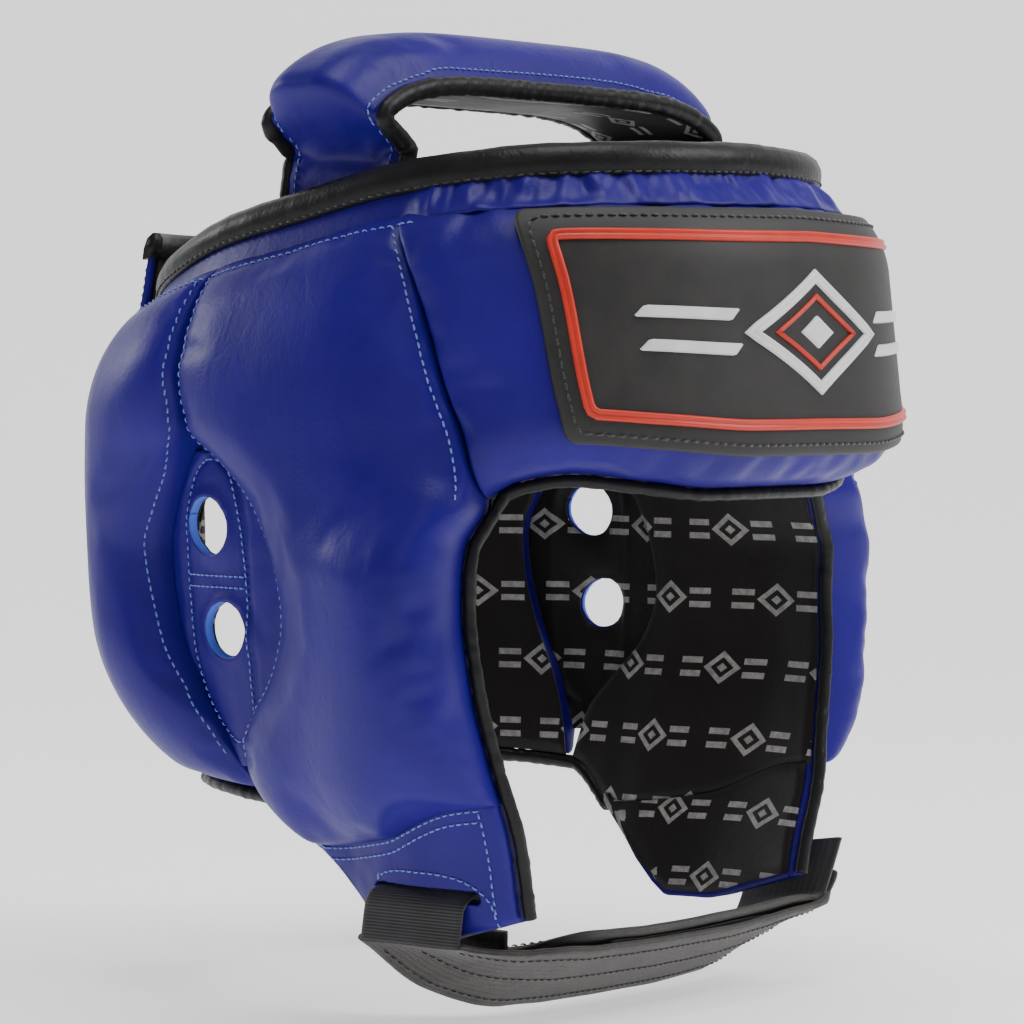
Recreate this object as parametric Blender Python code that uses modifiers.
"""Boxing headgear with an open crown: padded leather panels, crown strap, chin strap, rear closure.

The wearer looks along -Y, the wearer's right is -X and +Z is up. The origin is the centre of
the head cavity, level with the brow. An angle round the head is measured in degrees from the
front, positive towards the wearer's right. Lengths below are millimetres, and objects are
built in metres.
"""
import math

import bmesh
import bpy
import numpy as np
from mathutils import Matrix, Vector

MM = 0.001
GAP = 0.35              # clearance between two touching pieces
LINING = 1.5            # lining cloth with its backing
LEATHER = 1.4           # cover leather
FOAM_CLEARANCE = 0.5    # foam below its cover
REAR_CORNER = 2.6       # exponent of the head's superellipse behind the ears
RIGHT, LEFT = 1, -1

BAND_DROP = 14.0        # rim top to the top of the pads
BINDING_DROP = 9.0      # rim top to the lower edge of the rim binding
REAR_END = 165.0        # angle where each half ends at the back, leaving a gap that the flap bridges
EDGE = 5.0              # thickness of a pad at its sewn edge

EAR_OUTSIDE = 10.0      # outer face of the ear panel off the cavity wall, clear of the ear
EAR_THICKNESS = 3.6
EAR_HOLE_RADIUS = 9.0
EAR_HOLES = ((111.0, -7.0), (107.5, -38.0))

CROWN_FRONT, CROWN_BACK = -27.0, 19.0
CROWN_HALF_SPAN = 66.3
CROWN_SPREAD = 10.0     # how far the crown strap's legs lean out above the rim
CROWN_FOOT, CROWN_RISE = 80.0, 42.0
CROWN_PAD = 16.0
CROWN_HEM = 3.2         # thickness of the crown strap at its sewn edges

SLOT_HEIGHT = -112.0
SLOT_ANGLE = 58.0
SLOT_LENGTH = 43.0
SLOT_WIDTH = 7.2

PATCH_THICKNESS = 2.2
PATCH_LIFT = 3.2        # outer face of the brow patch above the forehead cover

CHEEK_FLARE = 8.3      # how far the cheeks stand out at the face opening

STRAP_WIDTH = 38.0
STRAP_THICKNESS = 2.2


def smooth_through(*points):
    """Return a smooth function through (x, y) points that never overshoots, level beyond its ends."""
    xs, ys = np.array(points, float).T
    rises = np.diff(ys) / np.diff(xs)
    slopes = np.zeros(len(xs))
    slopes[0], slopes[-1] = rises[0], rises[-1]
    for k, (before, after) in enumerate(zip(rises, rises[1:]), 1):
        if before * after > 0:
            slopes[k] = 2 * before * after / (before + after)

    def value(x):
        x = min(max(x, xs[0]), xs[-1])
        i = min(int(np.searchsorted(xs, x, side="right")) - 1, len(xs) - 2)
        span = xs[i + 1] - xs[i]
        u = (x - xs[i]) / span
        rise = ys[i + 1] - ys[i]
        start, end = slopes[i] * span, slopes[i + 1] * span
        bend = 3 * rise - 2 * start - end + u * (start + end - 2 * rise)
        return float(ys[i] + u * (start + u * bend))

    return value


# The head cavity, by height.
half_width = smooth_through((-150, 53), (-110, 62), (-80, 72), (-40, 81), (20, 83), (60, 80), (110, 75))
front_length = smooth_through((-150, 110), (-110, 109), (-40, 105), (20, 101), (60, 98), (110, 94))
front_corner = smooth_through((-150, 3.2), (-20, 3.2), (25, 2.6), (110, 2.5))
rear_length = smooth_through((-90, 84), (-60, 94), (-20, 100), (40, 101), (70, 96), (110, 86))

# Edges, by angle from the front.
rim_right = smooth_through((0, 106), (40, 104), (65, 100), (90, 93), (114, 86), (135, 76), (155, 68),
                           (180, 66))
rim_left = smooth_through((0, 106), (40, 104), (65, 100), (90, 93), (114, 87), (135, 84), (180, 83))
hem = smooth_through((92, -103), (110, -87), (180, -83))
tab_top = smooth_through((38, -83), (50, -86), (66, -97), (92, -101.5), (110, -87), (180, -83))
tab_foot = smooth_through((38, -118), (48, -124), (60, -129), (70, -129), (80, -120), (92, -105),
                          (110, -89))
brow = smooth_through((0, 6), (14, 6), (27, 8.5), (37, 10.5), (45, 8), (50, 2))

# Borders between panels, by height: the face edge goes on upwards as the forehead seam.
front_border = smooth_through((-120, 39.5), (-95, 42.5), (-74, 46.5), (-50, 50), (-27, 51.5), (-9, 51.3),
                              (1, 49.2), (15, 50.2), (37, 54), (65, 58.7), (88, 65.5))
ear_front = smooth_through((-90, 109.5), (-72, 106), (-60, 99.5), (-48, 92.5), (-33, 89), (-20, 90.5),
                           (-2, 96), (12, 104.5), (24, 112), (80, 112.5))
ear_back = smooth_through((-90, 110.6), (-68, 114.5), (-43, 121), (-26, 123.5), (-14, 124), (0, 121),
                          (12, 117), (24, 113.4), (80, 113.6))


def lerp(a, b, t):
    return a + (b - a) * t


def ramp(value):
    """Smooth step from 0 to 1."""
    v = min(max(value, 0), 1)
    return v * v * (3 - 2 * v)


def skin(angle, height, offset):
    """Return the point at an angle and height, offset outwards from the cavity wall."""
    offset += CHEEK_FLARE * ramp((6 - height) / 24) * ramp((88 - abs(angle)) / 32)
    a = math.radians(angle)
    x, y = -math.sin(a), -math.cos(a)
    width = half_width(height)
    length = front_length(height) if y < 0 else rear_length(height)
    corner = front_corner(height) if y < 0 else REAR_CORNER
    reach = (abs(x / width) ** corner + abs(y / length) ** corner) ** (-1 / corner)
    x, y = x * reach, y * reach
    normal = Vector((math.copysign(abs(x / width) ** (corner - 1) / width, x),
                     math.copysign(abs(y / length) ** (corner - 1) / length, y), 0)).normalized()
    return Vector((x, y, height)) + normal * offset


def ease(distance):
    """Quarter-round rise from 0 to 1 over a unit distance."""
    d = min(max(distance, 0), 1)
    return math.sqrt(1 - (1 - d) ** 2)


def spread(count):
    """Parameters from 0 to 1 that crowd towards both ends."""
    return [0.55 * (0.5 - 0.5 * math.cos(math.pi * i / count)) + 0.45 * i / count for i in range(count + 1)]


class Panel:
    """A padded region of the head, between two side borders and two edges."""

    def __init__(self, side, first, last, low, high, crest, runs, drops, dip=None):
        self.side, self.first, self.last, self.low, self.high = side, first, last, low, high
        self.crest, self.runs, self.drops, self.dip = crest, runs, drops, dip

    def place(self, s, t):
        """Angle and height at the panel's parameters, found by a short iteration."""
        height = lerp(self.low(90), self.high(90), t)
        for _ in range(12):
            angle = lerp(self.first(height), self.last(height), s)
            height = lerp(height, lerp(self.low(angle), self.high(angle), t), 0.7)
        return angle, height

    def thickness(self, s, t):
        """Pad thickness, rounded down towards each border."""
        part = 1
        for distance, run, drop in zip((s, 1 - s, t, 1 - t), self.runs, self.drops):
            part *= 1 - drop * (1 - ease(distance / run))
        if self.dip:
            part *= self.dip(*self.place(s, t))
        return EDGE + (self.crest - EDGE) * part

    def layer(self, s, t, offset):
        angle, height = self.place(s, t)
        return skin(self.side * angle, height, offset)

    def outside(self, s, t, lift=0):
        """Point on the cover, moved along its own normal."""
        point = self.layer(s, t, self.thickness(s, t))
        if not lift:
            return point
        step = 0.004
        s0, s1, t0, t1 = max(s - step, 0), min(s + step, 1), max(t - step, 0), min(t + step, 1)
        along = self.layer(s1, t, self.thickness(s1, t)) - self.layer(s0, t, self.thickness(s0, t))
        up = self.layer(s, t1, self.thickness(s, t1)) - self.layer(s, t0, self.thickness(s, t0))
        return point + along.cross(up).normalized() * (-self.side * lift)


def material(name, colour, roughness):
    made = bpy.data.materials.get(name) or bpy.data.materials.new(name)
    made.use_nodes = True
    shader = made.node_tree.nodes["Principled BSDF"]
    shader.inputs["Base Color"].default_value = (*colour, 1)
    shader.inputs["Roughness"].default_value = roughness
    shader.inputs["Metallic"].default_value = 0
    return made


LOOKS = {
    "blue_leather": ((0.03, 0.025, 0.36), 0.38),
    "black_binding": ((0.012, 0.012, 0.013), 0.4),
    "black_lining": ((0.01, 0.009, 0.009), 0.6),
    "foam": ((0.55, 0.5, 0.4), 0.9),
    "patch_rubber": ((0.022, 0.021, 0.02), 0.6),
    "red_rubber": ((0.62, 0.03, 0.012), 0.5),
    "white_rubber": ((0.75, 0.75, 0.75), 0.5),
    "strap_loop": ((0.035, 0.03, 0.027), 0.9),
    "hook_tape": ((0.006, 0.006, 0.006), 0.8),
    "elastic": ((0.01, 0.01, 0.012), 0.6),
}


def add(name, mesh, look, collection):
    made = bpy.data.objects.new(name, mesh)
    made.data.materials.append(material(look, *LOOKS[look]))
    collection.objects.link(made)
    return made


def grid_mesh(name, rows, flip=False):
    """Open surface through rows of points in millimetres."""
    bm = bmesh.new()
    verts = [[bm.verts.new(p * MM) for p in row] for row in rows]
    for low, high in zip(verts, verts[1:]):
        for a, b, c, d in zip(low, low[1:], high[1:], high):
            bm.faces.new((d, c, b, a) if flip else (a, b, c, d))
    mesh = bpy.data.meshes.new(name)
    bm.to_mesh(mesh)
    bm.free()
    mesh.shade_smooth()
    return mesh


def thicken(made, thickness):
    solid = made.modifiers.new("Thickness", "SOLIDIFY")
    solid.thickness = thickness * MM
    solid.offset = -1


def sheet(name, rows, thickness, look, collection, flip=False):
    """A thin piece: an open surface thickened on its back."""
    made = add(name, grid_mesh(name, rows, flip), look, collection)
    thicken(made, thickness)
    return made


def loft(name, outer, inner, look, collection, flip=False):
    """A solid between an outer and an inner sheet of the same grid."""
    bm = bmesh.new()
    top = [[bm.verts.new(p * MM) for p in row] for row in outer]
    bottom = [[bm.verts.new(p * MM) for p in row] for row in inner]
    for grid, turned in ((top, flip), (bottom, not flip)):
        for low, high in zip(grid, grid[1:]):
            for a, b, c, d in zip(low, low[1:], high[1:], high):
                bm.faces.new((d, c, b, a) if turned else (a, b, c, d))

    def border(grid):
        right = [row[-1] for row in grid[1:-1]]
        left = [row[0] for row in grid[1:-1]]
        return grid[0] + right + grid[-1][::-1] + left[::-1]

    upper, lower = border(top), border(bottom)
    for i, a in enumerate(upper):
        j = (i + 1) % len(upper)
        wall = (lower[i], lower[j], upper[j], a)
        bm.faces.new(wall[::-1] if flip else wall)
    mesh = bpy.data.meshes.new(name)
    bm.to_mesh(mesh)
    bm.free()
    mesh.shade_smooth()
    mesh.set_sharp_from_angle(angle=math.radians(50))
    return add(name, mesh, look, collection)


def tube(name, points, radius, look, collection):
    """A round strip of binding along points in millimetres."""
    data = bpy.data.curves.new(name, "CURVE")
    data.dimensions = "3D"
    data.bevel_depth = radius * MM
    data.bevel_resolution = 2
    data.use_fill_caps = True
    line = data.splines.new("POLY")
    line.points.add(len(points) - 1)
    for slot, point in zip(line.points, points):
        slot.co = (*(point * MM), 1)
    return add(name, data, look, collection)


def panel_rows(columns, rows, at):
    """Rows of points over a panel."""
    return [[at(s, t) for s in spread(columns)] for t in spread(rows)]


def walled_mesh(name, crest, foot, flip, inward=0, back=None):
    """A cover with walls down to the border of its foot, moved inwards; a back grid closes it."""
    bm = bmesh.new()
    top = [[bm.verts.new(p * MM) for p in row] for row in crest]
    last_row, last = len(crest) - 1, len(crest[0]) - 1
    base = {(i, j): bm.verts.new(foot[i][j] * MM) for i in range(last_row + 1) for j in range(last + 1)
            if i in (0, last_row) or j in (0, last)}

    def face(*corners):
        bm.faces.new(corners[::-1] if flip else corners)

    for i in range(last_row):
        for j in range(last):
            face(top[i][j], top[i][j + 1], top[i + 1][j + 1], top[i + 1][j])
    for j in range(last):
        face(base[0, j], base[0, j + 1], top[0][j + 1], top[0][j])
        face(top[-1][j], top[-1][j + 1], base[last_row, j + 1], base[last_row, j])
    for i in range(last_row):
        face(base[i, 0], top[i][0], top[i + 1][0], base[i + 1, 0])
        face(top[i][-1], base[i, last], base[i + 1, last], top[i + 1][-1])
    bm.normal_update()
    if back:
        moved = {v: v.co - v.normal * inward * MM for v in bm.verts}
        for v, place in moved.items():
            v.co = place
        floor = {(i, j): base.get((i, j)) or bm.verts.new(back[i][j] * MM)
                 for i in range(last_row + 1) for j in range(last + 1)}
        for i in range(last_row):
            for j in range(last):
                face(floor[i + 1, j], floor[i + 1, j + 1], floor[i, j + 1], floor[i, j])
    mesh = bpy.data.meshes.new(name)
    bm.to_mesh(mesh)
    bm.free()
    mesh.shade_smooth()
    mesh.set_sharp_from_angle(angle=math.radians(50))
    return mesh


def build_pad(label, panel, columns, rows, collection):
    """Cover, foam and lining of one padded panel."""
    facing_in = panel.side == RIGHT
    crest = panel_rows(columns, rows, panel.outside)
    foot = panel_rows(columns, rows, lambda s, t: panel.layer(s, t, LINING + GAP))
    name = label.format("cover")
    cover = add(name, walled_mesh(name, crest, foot, facing_in), "blue_leather", collection)
    thicken(cover, LEATHER)
    name = label.format("foam")
    base = panel_rows(columns, rows, lambda s, t: panel.layer(s, t, LINING + 4 * GAP))
    add(name, walled_mesh(name, crest, base, facing_in, LEATHER + FOAM_CLEARANCE, base), "foam", collection)
    cloth = panel_rows(columns, rows, lambda s, t: panel.layer(s, t, LINING - GAP))
    sheet(label.format("lining"), cloth, LINING - GAP, "black_lining", collection, facing_in)


def rim_of(side):
    return rim_right if side == RIGHT else rim_left


def pad_top(side):
    rim = rim_of(side)
    return lambda angle: rim(abs(angle)) - BAND_DROP - GAP


def inset(border, sign, amount=0.25):
    """Move a border aside, in degrees, to leave a seam gap."""
    return lambda height: border(height) + sign * amount


def make_forehead():
    """The brow pad between its two side seams."""
    far = inset(front_border, -1)
    return Panel(RIGHT, lambda height: -far(height), far, lambda angle: brow(abs(angle)),
                 pad_top(RIGHT), 22.5, (0.05, 0.05, 0.2, 0.24), (0.14, 0.14, 1, 1))


def make_side(side):
    """Temple and cheek pad from the forehead seam and face edge back to the ear."""
    return Panel(side, inset(front_border, 1), inset(ear_front, -1), tab_top, pad_top(side), 26,
                 (0.12, 0.32, 0.13, 0.3), (0.42, 0.62, 0.7, 1))


def make_rear(side):
    """Rear pad from the ear to the closure, thin where the closure overlaps."""
    closure = smooth_through((132, 1), (139, 0.85), (147, 0.22), (152, 0.15), (180, 0.15))
    return Panel(side, inset(ear_back, 1), lambda height: REAR_END, hem, pad_top(side), 29,
                 (0.3, 0.02, 0.34, 0.26), (0.66, 0.5, 1, 1), lambda angle, height: closure(angle))


def make_ear(side, collection, cutters):
    """Thin stitched panel round the ear, with its two hearing holes."""
    name = "ear_panel_" + ("r" if side == RIGHT else "l")
    panel = Panel(side, inset(ear_front, 1, 2), inset(ear_back, -1, 1.4), lambda angle: -79.0,
                  lambda angle: 16.0, EAR_OUTSIDE, (1,) * 4, (0,) * 4)
    outer = panel_rows(4, 12, lambda s, t: panel.layer(s, t, EAR_OUTSIDE))
    inner = panel_rows(4, 12, lambda s, t: panel.layer(s, t, EAR_OUTSIDE - EAR_THICKNESS))
    made = loft(name, outer, inner, "blue_leather", collection, side == RIGHT)
    for index, (angle, height) in enumerate(EAR_HOLES):
        inside, beyond = skin(side * angle, height, -8), skin(side * angle, height, 24)
        mesh = bpy.data.meshes.new("hole")
        bm = bmesh.new()
        bmesh.ops.create_cone(bm, cap_ends=True, segments=16, radius1=EAR_HOLE_RADIUS * MM,
                              radius2=EAR_HOLE_RADIUS * MM, depth=(beyond - inside).length * MM)
        bm.to_mesh(mesh)
        bm.free()
        cutter = bpy.data.objects.new(f"cut_{name}_{index}", mesh)
        cutter.matrix_world = (Matrix.Translation((inside + beyond) / 2 * MM)
                               @ (beyond - inside).to_track_quat("Z", "Y").to_matrix().to_4x4())
        cutter.hide_render = True
        cutter.display_type = "WIRE"
        cutters.objects.link(cutter)
        hole = made.modifiers.new("Hole", "BOOLEAN")
        hole.operation = "DIFFERENCE"
        hole.object = cutter


def make_tab(side, collection, cutters):
    """Reinforced leather at the bottom of a cheek; the right one is slotted for the chin strap."""
    name = "cheek_tab_" + ("r" if side == RIGHT else "l")
    panel = Panel(side, inset(front_border, 1),
                  lambda height: min(lerp(74, 101, (height + 130) / 30), 98), tab_foot,
                  lambda angle: tab_top(angle) - 1.6, 10, (0.12, 0.3, 0.15, 0.05), (0.4, 0.7, 0.5, 0.3))
    outer = panel_rows(9, 5, panel.outside)
    inner = panel_rows(9, 5, lambda s, t: panel.layer(s, t, GAP))
    made = loft(name, outer, inner, "blue_leather", collection, side == RIGHT)
    if side == LEFT:
        return
    start, end = skin(SLOT_ANGLE - 14, SLOT_HEIGHT, 3), skin(SLOT_ANGLE + 14, SLOT_HEIGHT, 3)
    mesh = bpy.data.meshes.new("slot")
    bm = bmesh.new()
    bmesh.ops.create_cube(bm, size=1)
    bm.to_mesh(mesh)
    bm.free()
    cutter = bpy.data.objects.new("cut_slot", mesh)
    along = (end - start).normalized()
    out = along.cross(Vector((0, 0, 1))).normalized()
    frame = Matrix((along, out, Vector((0, 0, 1)))).transposed().to_4x4()
    cutter.matrix_world = (Matrix.Translation((start + end) / 2 * MM) @ frame
                           @ Matrix.Diagonal((SLOT_LENGTH * MM, 60 * MM, SLOT_WIDTH * MM, 1)))
    cutter.hide_render = True
    cutter.display_type = "WIRE"
    cutters.objects.link(cutter)
    hole = made.modifiers.new("Slot", "BOOLEAN")
    hole.operation = "DIFFERENCE"
    hole.object = cutter


def signed_rim(angle):
    return rim_right(angle) if angle > 0 else rim_left(-angle)


def rim_rows(profile, count=40, end=REAR_END - 1):
    """Rows of a section swept round the rim; the profile holds (offset, rise) points."""
    angles = [lerp(-end, end, i / count) for i in range(count + 1)]
    return [[skin(a, signed_rim(a) + rise, offset) for offset, rise in profile] for a in angles]


def make_rim(collection):
    """The rim binding, and the gathered leather band and lining below it, open at the back."""
    fold = ((-1.9, -BINDING_DROP), (-1.9, -1.5), (2.6, 1), (7.2, -1.5), (7.2, -BINDING_DROP))
    sheet("rim_binding", rim_rows(fold), 1.0, "black_binding", collection, True)
    rises = (-4, -BAND_DROP)
    outer = rim_rows([(5.2, rise) for rise in rises])
    inner = rim_rows([(LINING + GAP, rise) for rise in rises])
    loft("gathered_band", outer, inner, "blue_leather", collection, True)
    cloth = rim_rows([(LINING - GAP, rise) for rise in rises])
    sheet("rim_lining", cloth, LINING - GAP, "black_lining", collection, True)


def make_bindings(collection):
    """The rolled bindings along the face opening and the hems."""
    cheek = [(front_border(z) - 1.9, z) for z in (-114, -100, -86, -70, -50, -30, -12)]
    over = [(angle, brow(abs(angle)) - 2.6) for angle in (46, 38, 28, 18, 8)]
    half = cheek + over
    path = [skin(a, z, 3.4) for a, z in half] + [skin(-a, z, 3.4) for a, z in half[::-1]]
    tube("face_binding", path, 1.5, "black_binding", collection)
    for side, label in ((RIGHT, "r"), (LEFT, "l")):
        angles = [lerp(102, REAR_END - 1, i / 12) for i in range(13)]
        path = [skin(side * a, min(hem(a), tab_top(a)) - 3.2, 3.0) for a in angles]
        tube("hem_binding_" + label, path, 1.7, "black_binding", collection)


def arch_line(turn):
    """Section of the crown strap's lining, right to left: X and height."""
    a = math.pi * min(max(turn, 0), 1)
    cosine, sine = abs(math.cos(a)), math.sin(a)
    height = CROWN_FOOT + CROWN_RISE * sine ** 0.74
    reach = CROWN_HALF_SPAN * cosine ** 0.4 + CROWN_SPREAD * ramp((height - 102) / 15) * cosine ** 0.3
    return Vector((-math.copysign(reach, math.cos(a)), 0, height))


def arch(turn, across, lift):
    """Point on the crown strap: turn 0..1 from right to left, across 0..1 from front to back."""
    a = math.pi * turn
    outwards = Vector((-math.cos(a), 0, 0.9 * math.sin(a))).normalized()
    return arch_line(turn) + Vector((0, lerp(CROWN_FRONT, CROWN_BACK, across), 0)) + outwards * lift


def crown_height(turn, across):
    ends = ramp((turn - 0.125) / 0.12) * ramp((0.875 - turn) / 0.12)
    crowned = ease(across / 0.3) * ease((1 - across) / 0.3)
    return CROWN_HEM + (CROWN_PAD - CROWN_HEM) * ends * crowned


def make_crown(collection):
    """The padded strap over the crown with its lining and edge bindings."""
    turns = [lerp(0.03, 0.97, i / 28) for i in range(29)]
    widths = [lerp(0.06, 0.94, v) for v in spread(6)]
    cover = [[arch(t, v, LINING + GAP + LEATHER + crown_height(t, v)) for v in widths] for t in turns]
    sheet("crown_cover", cover, LEATHER, "blue_leather", collection, True)
    under = [[arch(t, v, LINING + 0.84 * crown_height(t, v) - 1.4) for v in widths] for t in turns]
    back = [[arch(t, v, LINING + GAP) for v in widths] for t in turns]
    loft("crown_foam", under, back, "foam", collection, True)
    cloth = [[arch(t, v, LINING) for v in widths[::3]] for t in turns]
    sheet("crown_lining", cloth, LINING, "black_lining", collection, True)
    tube("crown_binding_front", [arch(t, 0, 3) for t in turns], 2.4, "black_binding", collection)
    tube("crown_binding_rear", [arch(t, 1, 3) for t in turns], 2.4, "black_binding", collection)


def make_patch(forehead, collection):
    """Moulded brow patch with its raised frame and plain lozenge emblem."""
    def spot(u, v):
        t = lerp(0.12, 0.93, v)
        side = lerp(0.125, 0.155, v)
        return lerp(1 - side, side, u), t

    patch = [[forehead.outside(*spot(u, v), PATCH_LIFT) for u in spread(14)] for v in spread(6)]
    sheet("brow_patch", patch, PATCH_THICKNESS, "patch_rubber", collection, False)

    def ring(name, loop_out, loop_in, look, height):
        lift = PATCH_LIFT + 1 + height
        rows = [[forehead.outside(*spot(*p), lift) for p in loop] for loop in (loop_out, loop_in)]
        bm = bmesh.new()
        loops = [[bm.verts.new(p * MM) for p in row] for row in rows]
        count = len(loops[0])
        for i in range(count):
            j = (i + 1) % count
            bm.faces.new((loops[0][i], loops[0][j], loops[1][j], loops[1][i]))
        mesh = bpy.data.meshes.new(name)
        bm.to_mesh(mesh)
        bm.free()
        thicken(add(name, mesh, look, collection), height)

    def box_loop(u0, u1, v0, v1):
        bottom = [(lerp(u0, u1, i / 20), v0) for i in range(20)]
        right = [(u1, lerp(v0, v1, i / 5)) for i in range(5)]
        top = [(lerp(u1, u0, i / 20), v1) for i in range(20)]
        left = [(u0, lerp(v1, v0, i / 5)) for i in range(5)]
        return bottom + right + top + left

    outer, inner = box_loop(0.045, 0.955, 0.1, 0.9), box_loop(0.06, 0.94, 0.14, 0.86)
    ring("brow_frame", outer, inner, "red_rubber", 0.9)

    def lozenge(half_u, half_v):
        corners = ((0.5 - half_u, 0.5), (0.5, 0.5 - half_v), (0.5 + half_u, 0.5), (0.5, 0.5 + half_v))
        return [(lerp(a[0], b[0], i / 4), lerp(a[1], b[1], i / 4))
                for a, b in zip(corners, corners[1:] + corners[:1]) for i in range(4)]

    ring("brow_emblem", lozenge(0.2, 0.26), lozenge(0.13, 0.16), "white_rubber", 0.8)


def ribbon(name, path, across, width, thickness, count, look, collection):
    """A flat strap: its outer face runs along smooth curves of centre points and width directions."""
    centre = [smooth_through(*enumerate(p[k] for p in path)) for k in range(3)]
    tilt = [smooth_through(*enumerate(d[k] for d in across)) for k in range(3)]
    rows = []
    for n in range(count + 1):
        u = (len(path) - 1) * n / count
        middle = Vector([f(u) for f in centre])
        direction = Vector([f(u) for f in tilt]).normalized()
        rows.append([middle + direction * (width * v) for v in (-0.5, 0.5)])
    return sheet(name, rows, thickness, look, collection)


RIGHT_LEAN, UNDER, LEFT_LEAN = (0.07, -0.99, 0), (0, -0.85, 0.53), (-0.15, -0.97, 0.15)


def make_chin(collection):
    """Chin strap: sewn band, hook tape, elastic turn through the slot, and the free tail."""
    band = (skin(-47, -110, 14), skin(-47, -127, 14), (57, -58, -133.5), (0, -60, -134.5), (-38, -56, -134),
            skin(SLOT_ANGLE, -129, -8), skin(SLOT_ANGLE, -124, -8))
    leans = (LEFT_LEAN, LEFT_LEAN, UNDER, UNDER, UNDER, RIGHT_LEAN, RIGHT_LEAN)
    ribbon("chin_band", band, leans, STRAP_WIDTH, STRAP_THICKNESS, 18, "strap_loop", collection)
    tape = ((44, -60.5, -136.7), (0, -61.2, -137.2), (-32, -59.5, -136.6))
    ribbon("chin_hook_tape", tape, (UNDER,) * 3, STRAP_WIDTH - 4, 1.2, 6, "hook_tape", collection)
    turn = [skin(SLOT_ANGLE, z, offset) for z, offset in
            ((-121, -6), (-113.5, -5), (-111.5, -2), (-110.8, 4), (-111.5, 10), (-113.5, 14), (-124, 15))]
    ribbon("chin_elastic", turn, (RIGHT_LEAN,) * 7, STRAP_WIDTH - 2, 1.6, 18, "elastic", collection)
    tail = (skin(SLOT_ANGLE, -127.2, 15.5), (-67, -48, -135.5), (-46, -58, -139.5), (0, -62, -140.5),
            (48, -61, -139.5), (72, -60, -134), skin(-47, -128, 19.5), skin(-47, -121, 20.5))
    leans = (RIGHT_LEAN, (0.1, -0.9, 0.3), UNDER, UNDER, UNDER, (-0.1, -0.9, 0.3), LEFT_LEAN, LEFT_LEAN)
    ribbon("chin_tail", tail, leans, STRAP_WIDTH, STRAP_THICKNESS, 22, "strap_loop", collection)


def make_closure(collection):
    """Rear hook-and-loop closure: the flap from the left half over the loop patch on the right."""
    angles = [lerp(152, 202, i / 10) for i in range(11)]
    closing = [lerp(153.5, 164, i / 4) for i in range(5)]

    def rows(low, high, stations, offset):
        return [[skin(a, lerp(low, high, i / 4), offset) for a in stations] for i in range(5)]

    sheet("rear_flap", rows(12, 83, angles, 15.4), 3.0, "blue_leather", collection, True)
    sheet("rear_hook_patch", rows(18, 50, closing, 11.9), 1.0, "hook_tape", collection, True)
    sheet("rear_loop_patch", rows(18, 50, closing, 10.5), 1.0, "strap_loop", collection, True)


def main():
    for old in list(bpy.data.objects):
        bpy.data.objects.remove(old, do_unlink=True)
    parts = bpy.data.collections.new("boxing_headgear")
    cutters = bpy.data.collections.new("cutters")
    for made in (parts, cutters):
        bpy.context.scene.collection.children.link(made)
    forehead = make_forehead()
    build_pad("forehead_{}", forehead, 12, 6, parts)
    make_patch(forehead, parts)
    for side, label in ((RIGHT, "r"), (LEFT, "l")):
        build_pad("side_{}_" + label, make_side(side), 7, 9, parts)
        build_pad("rear_{}_" + label, make_rear(side), 9, 8, parts)
        make_ear(side, parts, cutters)
        make_tab(side, parts, cutters)
    make_rim(parts)
    make_bindings(parts)
    make_crown(parts)
    make_chin(parts)
    make_closure(parts)


main()
